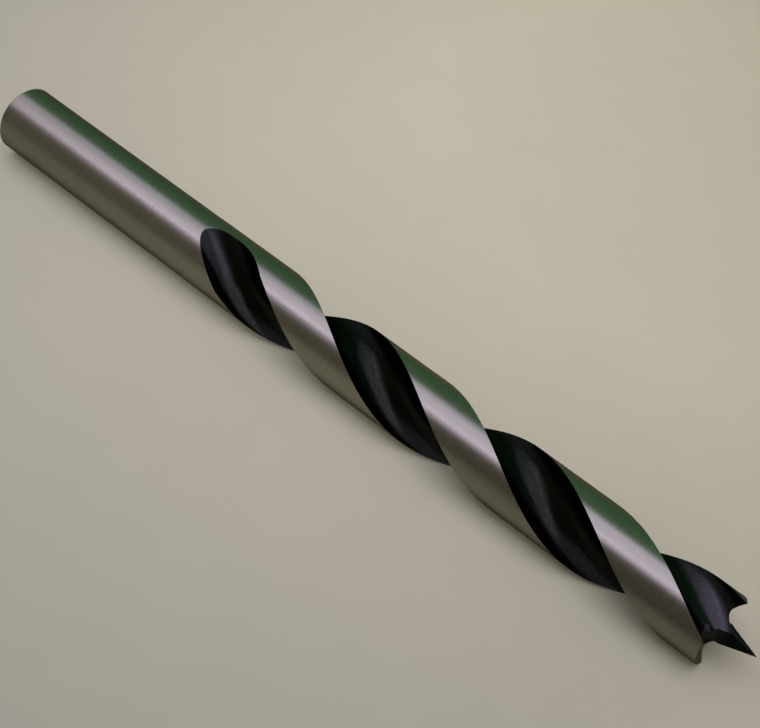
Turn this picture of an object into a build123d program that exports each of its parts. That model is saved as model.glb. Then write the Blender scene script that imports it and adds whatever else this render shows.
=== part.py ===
from build123d import *
from math import asin, cos, degrees, pi, radians, sin, sqrt, tan
import os

# Brad-point twist bit for wood, turned and milled from one steel rod.
# It lies on z = 0 along X with its point towards +X, and x = 0 is half way along it.

# Driving sizes in millimetres and degrees
body_diameter = 12.0
overall_length = 151.0

# Shank is ground just under the cutting diameter, and the step up to the body is eased
shank_diameter = 11.94
shank_length = 44.4
shank_easing = 1.5
shank_chamfer = 0.4

# Flutes keep their full depth this far from the point, and make a turn in each lead
full_depth_length = 96.4
flute_lead = 63.7

# Form and setting of the wheel that grinds the flutes
core_radius = 1.45
leading_wall_radius = 4.9
heel_wall_radius = 4.0
wheel_radius = 46.0
wheel_slant = 39.6

# Lips slope back from the two spurs to the root of the centre point
spur_setback = 5.4
lip_angle = 22.0
lip_root_radius = 1.6
relief_angle = 12.0
point_half_angle = 18.0
point_flat_width = 0.2
point_flat_length = 7.4

# Direction of the upper spur seen along the bit, from +Y towards +Z
spur_direction = 69.0

# How far a cutter reaches past what it cuts
overcut = 2.0

full_turn = 360
half_turn = full_turn / 2
quarter_turn = full_turn / 4

body_radius = body_diameter / 2
shank_radius = shank_diameter / 2
flute_depth = body_radius - core_radius
tip_x = overall_length / 2
full_depth_x = tip_x - full_depth_length
spur_x = tip_x - spur_setback
centreline = Axis((0, 0, body_radius), (1, 0, 0))


def lengthwise_plane(x):
    """Plane through the centreline, its first axis from x towards the shank, its second upwards."""
    return Plane(origin=(x, 0, body_radius), x_dir=(-1, 0, 0), z_dir=(0, 1, 0))


def spread_at_surface(wall_radius):
    """Turn about the bit, in degrees, from the flute's floor to where this wall meets the outside."""
    across_share = cos(radians(wheel_slant))
    along_share = sin(radians(wheel_slant))
    arc_centre = core_radius + wall_radius
    half_linear = arc_centre * across_share**2
    constant = across_share**2 * (wall_radius**2 - arc_centre**2) - body_radius**2
    height = (sqrt(half_linear**2 - along_share**2 * constant) - half_linear) / along_share**2
    reach = sqrt(wall_radius**2 - (height - arc_centre) ** 2)
    return degrees(asin(reach * across_share / body_radius) + 2 * pi * reach * along_share / flute_lead)


# Flute cutter: the wheel's form carried along a helix, then lifted round the wheel's own rim
with BuildPart() as flute_cutter:
    with BuildLine() as flute_path:
        Helix(
            pitch=flute_lead,
            height=tip_x + overcut - full_depth_x,
            radius=body_radius,
            center=(full_depth_x, 0, body_radius),
            direction=(1, 0, 0),
        )
    wheel_heading = Vector(1, 0, 0).rotate(Axis.Z, -wheel_slant)
    across_wheel = Plane(origin=flute_path.line @ 0, x_dir=(0, 0, 1), z_dir=wheel_heading)
    with BuildSketch(across_wheel) as wheel_form:
        with BuildLine():
            floor = (-flute_depth, 0)
            heel_top = (heel_wall_radius - flute_depth, heel_wall_radius)
            leading_top = (leading_wall_radius - flute_depth, -leading_wall_radius)
            TangentArc(floor, heel_top, tangent=(0, 1))
            TangentArc(floor, leading_top, tangent=(0, -1))
            Polyline(
                heel_top,
                (body_radius, heel_wall_radius),
                (body_radius, -leading_wall_radius),
                leading_top,
            )
        make_face()
    sweep(path=flute_path.line, is_frenet=True)
    wheel_centre = across_wheel.from_local_coords((wheel_radius - flute_depth, 0, 0))
    wheel_axis = Axis(wheel_centre, -across_wheel.y_dir)
    revolve(wheel_form.sketch, axis=wheel_axis, revolution_arc=quarter_turn)

# Flank of the centre point and lip would meet in a corner, which is rounded to the root radius
flank_slope = tan(radians(point_half_angle))
lip_slope = tan(radians(lip_angle))
corner_setback = (spur_setback + body_radius * lip_slope) / (1 + lip_slope * flank_slope)
corner_radius = corner_setback * flank_slope
root_reach = lip_root_radius * tan(radians(quarter_turn + lip_angle - point_half_angle) / 2)
neck_setback = corner_setback - root_reach * cos(radians(point_half_angle))
neck_radius = corner_radius - root_reach * sin(radians(point_half_angle))
root_end = (
    corner_setback - root_reach * sin(radians(lip_angle)),
    corner_radius + root_reach * cos(radians(lip_angle)),
)

# A lip lies at the leading edge of a flute, and the land behind it falls away towards the shank
leading_spread = spread_at_surface(leading_wall_radius)
relief_lead = 2 * pi * body_radius * tan(radians(relief_angle))
relief_drop = relief_lead * (half_turn - leading_spread) / full_turn

# Relief cutter: the outline of a lip carried forward round half a turn, from flute floor to flute floor
with BuildPart() as relief_cutter:
    with BuildLine() as relief_path:
        Helix(
            pitch=relief_lead,
            height=relief_lead / 2,
            radius=body_radius,
            center=(tip_x - relief_drop, 0, body_radius),
            direction=(1, 0, 0),
        )
    with BuildSketch(lengthwise_plane(tip_x - relief_drop)):
        with BuildLine():
            Line((-overcut, neck_radius), (neck_setback, neck_radius))
            RadiusArc((neck_setback, neck_radius), root_end, -lip_root_radius)
            Polyline(
                root_end,
                (spur_setback - overcut * lip_slope, body_radius + overcut),
                (-overcut, body_radius + overcut),
                (-overcut, neck_radius),
            )
        make_face()
    sweep(path=relief_path.line, is_frenet=True)

# Flat cutter: a tapered slice off one side of the centre point, square to the lips, with the same root
with BuildPart() as flat_cutter:
    with BuildSketch(lengthwise_plane(tip_x)) as flat_form:
        Polygon(
            (0, point_flat_width / 2),
            (point_flat_length, core_radius),
            (point_flat_length, neck_radius + core_radius),
            (0, neck_radius + core_radius),
            align=None,
        )
        root_corner = flat_form.vertices().sort_by(Axis.X)[-2:].sort_by(Axis.Y)[0]
        fillet(root_corner, lip_root_radius)
    extrude(amount=neck_radius, both=True)

# The cutters start above the centreline, and these turns bring them to their places
relief_turn = spur_direction + leading_spread - quarter_turn
flute_turn = relief_turn - full_turn * (spur_x - full_depth_x) / flute_lead

# Bit: a rod with a turned centre point and a chamfered shank, then both flutes, lips and flats ground
with BuildPart() as drill_bit:
    with BuildSketch(lengthwise_plane(tip_x)):
        with BuildLine():
            Polyline(
                (0, 0),
                (neck_setback, neck_radius),
                (spur_setback - overcut, body_radius),
                (overall_length - shank_length, body_radius),
                (overall_length - shank_length + shank_easing, shank_radius),
                (overall_length - shank_chamfer, shank_radius),
                (overall_length, shank_radius - shank_chamfer),
                (overall_length, 0),
                close=True,
            )
        make_face()
    revolve(axis=centreline)
    for side in (0, half_turn):
        add(flute_cutter.part.rotate(centreline, flute_turn + side), mode=Mode.SUBTRACT)
        add(relief_cutter.part.rotate(centreline, relief_turn + side), mode=Mode.SUBTRACT)
        add(flat_cutter.part.rotate(centreline, spur_direction + side), mode=Mode.SUBTRACT)

os.makedirs("parts", exist_ok=True)
drill_bit.part.label = "drill_bit"
export_step(drill_bit.part, "parts/drill_bit.step")
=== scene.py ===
import math
import bpy
import numpy as np
from mathutils import Matrix, Vector


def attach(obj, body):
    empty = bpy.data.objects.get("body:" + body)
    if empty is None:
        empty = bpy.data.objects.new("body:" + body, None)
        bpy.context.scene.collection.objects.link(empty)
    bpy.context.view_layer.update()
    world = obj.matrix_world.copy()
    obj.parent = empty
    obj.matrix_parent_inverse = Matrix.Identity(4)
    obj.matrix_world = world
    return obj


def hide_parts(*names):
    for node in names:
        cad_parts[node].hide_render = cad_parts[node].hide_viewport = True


MM = 0.001

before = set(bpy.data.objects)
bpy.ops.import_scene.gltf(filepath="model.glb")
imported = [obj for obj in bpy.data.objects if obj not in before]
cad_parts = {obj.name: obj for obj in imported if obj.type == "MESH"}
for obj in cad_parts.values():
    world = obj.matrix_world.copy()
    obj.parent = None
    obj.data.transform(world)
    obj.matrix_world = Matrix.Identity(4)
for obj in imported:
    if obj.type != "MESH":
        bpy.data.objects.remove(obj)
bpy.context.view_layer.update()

# Sizes of the bit in millimetres and its angles, the same as in its source
BODY_RADIUS = 6.0
CORE_RADIUS = 1.45
HEEL_WALL_RADIUS = 4.0
LEADING_WALL_RADIUS = 4.9
WHEEL_RADIUS = 46.0
WHEEL_SLANT = math.radians(39.6)
FLUTE_LEAD = 63.7
FULL_DEPTH_X = -20.9
FLUTE_TURN = math.radians(238.160)
FLUTE_TURNS = (FLUTE_TURN, FLUTE_TURN + math.pi)

# Steel is bright outside this radius, all round the shank, and on the lips outside the rounded root
LAND_RADIUS, LAND_EDGE = 5.93, 0.03
SHANK_X, SHANK_EDGE = -31.5, 0.5
LIP_X, LIP_EDGE = 60.0, 1.0
ROOT_RADIUS, ROOT_EDGE = 2.7, 0.4
LIP_FACING = (0.55, 0.65)

# Black oxide is paler behind the centre point and where the flutes run out, which brightens the flute
# highlights there
PALE_OXIDE_X, PALE_OXIDE_EDGE = 58.0, 8.0
POINT_X, POINT_EDGE = 69.5, 1.5
RUNOUT_X, RUNOUT_EDGE, RUNOUT_PALENESS = -23.0, 6.0, 0.9

# How near a corner of the mesh lies to the surface that it was cut from, in millimetres
OUTSIDE_FROM = 5.96
CUT_MISS = 0.03
NORMAL_STEP = 0.01
NORMAL_MATCH = 0.9


def wheel_gap(sideways, height):
    """Distance of points from the grinding wheel's form, less than nothing inside it."""
    wall = np.where(sideways > 0, HEEL_WALL_RADIUS, LEADING_WALL_RADIUS)
    above = height - CORE_RADIUS - wall
    return np.where(above < 0, np.hypot(sideways, above), np.abs(sideways)) - wall


def turned(points, angle):
    """Points turned back about the bit's own line, with their height taken from that line."""
    across, up = points[:, 1], points[:, 2] - BODY_RADIUS
    side = across * math.cos(angle) + up * math.sin(angle)
    height = up * math.cos(angle) - across * math.sin(angle)
    return points[:, 0], side, height


def flute_gap(points, turn):
    """Distance from the screw surface that the wheel leaves along the flute."""
    along, across, up = turned(points, turn)
    travel = along - FULL_DEPTH_X
    for step in range(8):
        angle = 2 * math.pi * travel / FLUTE_LEAD
        side = across * np.cos(angle) + up * np.sin(angle)
        height = up * np.cos(angle) - across * np.sin(angle)
        rest = along - FULL_DEPTH_X - travel
        miss = rest * math.cos(WHEEL_SLANT) - side * math.sin(WHEEL_SLANT)
        slope = math.cos(WHEEL_SLANT) + height * math.sin(WHEEL_SLANT) * 2 * math.pi / FLUTE_LEAD
        travel = travel + miss / slope
    return wheel_gap(-rest * math.sin(WHEEL_SLANT) - side * math.cos(WHEEL_SLANT), height)


def runout_gap(points, turn):
    """Distance from the round hollow that the wheel leaves where it lifts out."""
    along, across, up = turned(points, turn)
    travel = along - FULL_DEPTH_X
    ahead = travel * math.cos(WHEEL_SLANT) - across * math.sin(WHEEL_SLANT)
    sideways = -travel * math.sin(WHEEL_SLANT) - across * math.cos(WHEEL_SLANT)
    wheel_centre = CORE_RADIUS + WHEEL_RADIUS
    return wheel_gap(sideways, wheel_centre - np.hypot(ahead, wheel_centre - up))


def true_normals(mesh):
    """Gives each corner the normal of the ground surface it lies on, where the facets only come near it."""
    places = np.array([vertex.co for vertex in mesh.vertices]) / MM
    corners = np.array([loop.vertex_index for loop in mesh.loops])
    points = places[corners]
    facets = np.repeat(np.array([polygon.normal for polygon in mesh.polygons]), 3, axis=0)
    normals = np.array([corner.vector for corner in mesh.corner_normals])
    best = np.full(len(points), NORMAL_MATCH)

    def offer(found, near):
        """Takes the found normals where they fit their facets better than what is there."""
        match = np.where(near, np.sum(found * facets, axis=1), -1.0)
        better = match > best
        normals[better] = found[better]
        best[better] = match[better]

    def unit(vectors):
        return vectors / np.maximum(np.linalg.norm(vectors, axis=1), 1e-9)[:, None]

    outward = points - (0, 0, BODY_RADIUS)
    outward[:, 0] = 0
    offer(unit(outward), np.linalg.norm(outward, axis=1) > OUTSIDE_FROM)
    for gap in (flute_gap, runout_gap):
        for turn in FLUTE_TURNS:
            steps = np.eye(3) * NORMAL_STEP
            slope = np.stack([gap(points + step, turn) - gap(points - step, turn) for step in steps], axis=1)
            offer(unit(-slope), np.abs(gap(points, turn)) < CUT_MISS)
    mesh.normals_split_custom_set(normals.tolist())


class Nodes:
    """Short names for adding and joining the nodes of one node tree."""

    MIX_SOCKETS = {"FLOAT": (2, 3, 0), "RGBA": (6, 7, 2)}

    def __init__(self, tree):
        self.tree = tree
        tree.nodes.clear()

    def add(self, kind, **settings):
        node = self.tree.nodes.new(kind)
        for name, value in settings.items():
            setattr(node, name, value)
        return node

    def feed(self, source, target):
        """Joins a socket to another, or writes a constant on it."""
        if isinstance(source, bpy.types.NodeSocket):
            self.tree.links.new(source, target)
        else:
            target.default_value = source

    def math(self, operation, first, second=0.0):
        node = self.add("ShaderNodeMath", operation=operation)
        self.feed(first, node.inputs[0])
        self.feed(second, node.inputs[1])
        return node.outputs[0]

    def mix(self, share, first, second, kind="RGBA", blend="MIX"):
        node = self.add("ShaderNodeMix", data_type=kind, blend_type=blend)
        first_socket, second_socket, result_socket = self.MIX_SOCKETS[kind]
        self.feed(share, node.inputs[0])
        self.feed(first, node.inputs[first_socket])
        self.feed(second, node.inputs[second_socket])
        return node.outputs[result_socket]

    def span(self, value, low, high, out_low=0.0, out_high=1.0):
        """Value carried from one range to another and held at both ends."""
        node = self.add("ShaderNodeMapRange")
        for index, source in enumerate((value, low, high, out_low, out_high)):
            self.feed(source, node.inputs[index])
        return node.outputs[0]

    def rise(self, value, start, width, top=1.0):
        """Rises from 0 at start to top over a width, both in millimetres, backwards for a width under 0."""
        return self.span(value, start * MM, (start + width) * MM, 0.0, top)

    def split(self, vector):
        node = self.add("ShaderNodeSeparateXYZ")
        self.feed(vector, node.inputs[0])
        return node.outputs

    def distance(self, place, point):
        node = self.add("ShaderNodeVectorMath", operation="DISTANCE")
        self.feed(place, node.inputs[0])
        node.inputs[1].default_value = point
        return node.outputs["Value"]

    def noise(self, place, scale, detail=2.0, roughness=0.5):
        node = self.add("ShaderNodeTexNoise")
        self.feed(place, node.inputs["Vector"])
        self.feed(scale, node.inputs["Scale"])
        self.feed(detail, node.inputs["Detail"])
        self.feed(roughness, node.inputs["Roughness"])
        return node.outputs["Fac"]

    def finish(self, shader, kind="ShaderNodeOutputMaterial"):
        self.feed(shader.outputs[0], self.add(kind).inputs[0])


def new_material(name):
    material = bpy.data.materials.new(name)
    material.use_nodes = True
    return material, Nodes(material.node_tree)


def steel_material():
    """Ground bright on the rod's outside and the lips, black oxide wherever else a wheel has cut in."""
    material, nodes = new_material("steel")
    place = nodes.add("ShaderNodeTexCoord").outputs["Object"]
    along, across, up = nodes.split(place)
    above_line = nodes.math("SUBTRACT", up, BODY_RADIUS * MM)
    across_squared = nodes.math("MULTIPLY", across, across)
    above_squared = nodes.math("MULTIPLY", above_line, above_line)
    radius = nodes.math("SQRT", nodes.math("ADD", across_squared, above_squared))

    # Share of bright steel, on the lands, the shank and the lips
    on_land = nodes.rise(radius, LAND_RADIUS, LAND_EDGE)
    on_shank = nodes.rise(along, SHANK_X, -SHANK_EDGE)
    forward = nodes.split(nodes.add("ShaderNodeNewGeometry").outputs["Normal"])[0]
    on_lip = nodes.math("MULTIPLY", nodes.span(forward, *LIP_FACING), nodes.rise(along, LIP_X, LIP_EDGE))
    on_lip = nodes.math("MULTIPLY", on_lip, nodes.rise(radius, ROOT_RADIUS, ROOT_EDGE))
    bright = nodes.math("MAXIMUM", on_land, nodes.math("MAXIMUM", on_shank, on_lip))

    # Rings left by the grinding of the outside, close together along the bit and long round it
    rings_along, rings_round = 9000.0, 60.0
    stretched = nodes.add("ShaderNodeCombineXYZ")
    nodes.feed(nodes.math("MULTIPLY", along, rings_along), stretched.inputs[0])
    nodes.feed(nodes.math("MULTIPLY", across, rings_round), stretched.inputs[1])
    nodes.feed(nodes.math("MULTIPLY", above_line, rings_round), stretched.inputs[2])
    rings = nodes.noise(stretched.outputs[0], 1.0, 3.0)
    cloud = nodes.noise(place, 220.0, 3.0)
    grain = nodes.span(nodes.noise(place, 2200.0, 3.0, 0.6), 0.3, 0.7)

    # Colours of the ground steel, the black oxide and the paler oxide, each from its darkest to its palest
    steel = nodes.mix(cloud, (0.500, 0.490, 0.505, 1), (0.550, 0.540, 0.555, 1))
    black = nodes.mix(grain, (0.018, 0.0215, 0.021, 1), (0.036, 0.040, 0.041, 1))
    pale_black = nodes.mix(grain, (0.048, 0.050, 0.063, 1), (0.072, 0.076, 0.094, 1))
    # Share of the paler oxide, which makes the highlights brighter behind the point and at the run-out
    before_point = nodes.rise(along, POINT_X + POINT_EDGE, -POINT_EDGE)
    pale_share = nodes.math("MULTIPLY", nodes.rise(along, PALE_OXIDE_X, PALE_OXIDE_EDGE), before_point)
    pale_share = nodes.math("MAXIMUM", pale_share, nodes.rise(along, RUNOUT_X, -RUNOUT_EDGE, RUNOUT_PALENESS))
    colour = nodes.mix(bright, nodes.mix(pale_share, black, pale_black), steel)

    shader = nodes.add("ShaderNodeBsdfPrincipled")
    nodes.feed(colour, shader.inputs["Base Color"])
    shader.inputs["Metallic"].default_value = 1.0
    shader.inputs["Specular Tint"].default_value = (0.35, 0.36, 0.30, 1)
    bright_roughness = nodes.span(rings, 0.3, 0.7, 0.255, 0.29)
    black_roughness = nodes.span(cloud, 0.3, 0.7, 0.18, 0.24)
    roughness = nodes.mix(bright, black_roughness, bright_roughness, kind="FLOAT")
    nodes.feed(roughness, shader.inputs["Roughness"])
    bump = nodes.add("ShaderNodeBump")
    bump.inputs["Strength"].default_value = 0.014
    bump.inputs["Distance"].default_value = 0.02 * MM
    nodes.feed(rings, bump.inputs["Height"])
    nodes.feed(bump.outputs[0], shader.inputs["Normal"])
    nodes.finish(shader)
    return material


def tabletop_material():
    """Pale board with a painted pool of light that falls off around it, and painted shade where steel
    reflects it.
    """
    material, nodes = new_material("tabletop")
    place = nodes.add("ShaderNodeTexCoord").outputs["Object"]
    along, across, up = nodes.split(place)
    in_steel = nodes.add("ShaderNodeLightPath").outputs["Is Glossy Ray"]

    # The board's colour with a painted pool of light, paler near the bit and darker further out, and faintly
    # mottled
    painted_light_pool = nodes.span(nodes.distance(place, (0.02, 0.114, 0)), 0.068, 0.19)
    board = nodes.mix(painted_light_pool, (0.713, 0.751, 0.580, 1), (0.390, 0.438, 0.368, 1))
    broad_cloud = nodes.math("MULTIPLY", nodes.noise(place, 9.0), 0.6)
    fine_cloud = nodes.math("MULTIPLY", nodes.noise(place, 90.0), 0.4)
    cloud = nodes.math("ADD", broad_cloud, fine_cloud)
    mottle = nodes.mix(cloud, (0.94, 0.94, 0.94, 1), (1.06, 1.06, 1.06, 1))
    board = nodes.mix(1.0, board, mottle, blend="MULTIPLY")

    # Painted shade in reflections: steel shows the board at about half its colour, and darker still beside
    # the point
    board = nodes.mix(in_steel, board, (0.5, 0.506, 0.362, 1), blend="MULTIPLY")
    shade_beside_point = nodes.span(across, -0.05, -0.01, 0.75, 0.2)
    reflected_shade = nodes.math("MULTIPLY", nodes.span(along, 0.0, 0.05), shade_beside_point)
    reflected_shade = nodes.math("MULTIPLY", reflected_shade, in_steel)
    board = nodes.mix(reflected_shade, board, (0, 0, 0, 1))

    # A weak glow, which steel doesn't show, lifts the contact shadow and the far parts of the board
    near_glow = nodes.span(along, -0.04, 0.06, 0.075, 0.02)
    far_glow = nodes.span(nodes.distance(place, (0, 0, 0)), 0.2, 1.0, 0.0, 0.27)
    glow = nodes.math("ADD", near_glow, far_glow)
    glow = nodes.math("MULTIPLY", nodes.math("SUBTRACT", 1.0, in_steel), glow)

    shader = nodes.add("ShaderNodeBsdfPrincipled")
    nodes.feed(board, shader.inputs["Base Color"])
    shader.inputs["Roughness"].default_value = 0.6
    shader.inputs["Emission Color"].default_value = (1.0, 0.93, 0.75, 1)
    nodes.feed(glow, shader.inputs["Emission Strength"])
    nodes.finish(shader)
    return material


def room_world():
    """Plain room light for the scene, and for steel the walls round it."""
    world = bpy.data.worlds.new("room")
    world.use_nodes = True
    nodes = Nodes(world.node_tree)
    along, across, up = nodes.split(nodes.add("ShaderNodeTexCoord").outputs["Generated"])

    # Walls are dim brown behind the camera, dim green beyond the bit, and pale past its point and its shank
    towards_point = nodes.span(along, -0.55, 0.05)
    brown = nodes.mix(towards_point, (0.1025, 0.0895, 0.0543, 1), (0.050, 0.0445, 0.0235, 1))
    walls = nodes.mix(nodes.span(across, -0.3, 0.3), brown, (0.0525, 0.119, 0.047, 1))
    walls = nodes.mix(nodes.span(along, 0.25, 0.5), walls, (0.33, 0.32, 0.32, 1))
    walls = nodes.mix(nodes.span(along, -0.75, -0.95), walls, (0.30, 0.29, 0.28, 1))
    in_steel = nodes.add("ShaderNodeLightPath").outputs["Is Glossy Ray"]
    background = nodes.add("ShaderNodeBackground")
    nodes.feed(nodes.mix(in_steel, (0.25, 0.21, 0.167, 1), walls), background.inputs[0])
    nodes.finish(background, kind="ShaderNodeOutputWorld")
    return world


def softbox(name, place, width, depth, turn, radiance, in_steel):
    """A flat oval lamp facing down, whose face has the given brightness and may show in the steel."""
    light = bpy.data.lights.new(name, "AREA")
    light.shape = "ELLIPSE"
    light.size = width
    light.size_y = depth
    light.energy = radiance * math.pi * width * depth * math.pi / 4
    light.color = (1.0, 0.87, 1.0)
    lamp = bpy.data.objects.new(name, light)
    lamp.location = place
    lamp.rotation_euler[2] = math.radians(turn)
    lamp.visible_glossy = in_steel
    bpy.context.collection.objects.link(lamp)


def place_camera():
    """Looks down on the bit so that its shank, both flutes' edges and its point lie as in the photo."""
    camera = bpy.data.objects.new("camera", bpy.data.cameras.new("camera"))
    bpy.context.collection.objects.link(camera)
    bpy.context.scene.camera = camera
    camera.data.sensor_width = 36.0
    camera.data.lens = 55.023
    camera.data.shift_x = 0.0012
    camera.data.shift_y = 0.00263
    camera.data.clip_start = 0.01
    right = Vector((0.7713, 0.6012, 0.2087)).normalized()
    back = -Vector((-0.2915, 0.6253, -0.7239)).normalized()
    up = back.cross(right).normalized()
    right = up.cross(back)
    axes = Matrix((right, up, back)).transposed().to_4x4()
    camera.matrix_world = Matrix.Translation((0.058872, -0.113867, 0.140306)) @ axes


# The bit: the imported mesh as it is, with the normals of the ground surfaces
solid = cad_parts["drill_bit"]
bit = bpy.data.objects.new("bit", solid.data.copy())
bpy.context.collection.objects.link(bit)
bit.data.materials.clear()
bit.data.materials.append(steel_material())
true_normals(bit.data)
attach(bit, "root")
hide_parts("drill_bit")

bpy.ops.mesh.primitive_plane_add(size=4.0, location=(0, 0, 0))
floor = bpy.context.object
floor.name = "tabletop"
floor.data.materials.append(tabletop_material())

bpy.context.scene.world = room_world()

# Ceiling lamps: name, place, width, depth, turn in degrees and the brightness of the face
LAMPS = (
    ("ceiling", (-0.15, -0.07, 0.60), 1.22, 0.63, -16.0, 0.44),
    ("ceiling_middle", (-0.12, -0.20, 0.59), 1.14, 0.60, 20.0, 0.275),
    ("ceiling_strip", (-0.47, -0.25, 0.58), 0.55, 0.13, 10.0, 0.175),
    ("ceiling_tube", (-0.16, -0.25, 0.57), 0.90, 0.03, 6.0, 1.3),
)
FILL_LIFT = 0.005

# Each lamp has an equal fill lamp just above it, which lights the scene but stays out of the steel
for name, place, width, depth, turn, radiance in LAMPS:
    softbox(name, place, width, depth, turn, radiance, in_steel=True)
    above = (place[0], place[1], place[2] + FILL_LIFT)
    softbox(name + "_fill", above, width, depth, turn, radiance, in_steel=False)

place_camera()
bpy.context.scene.view_settings.view_transform = "Standard"
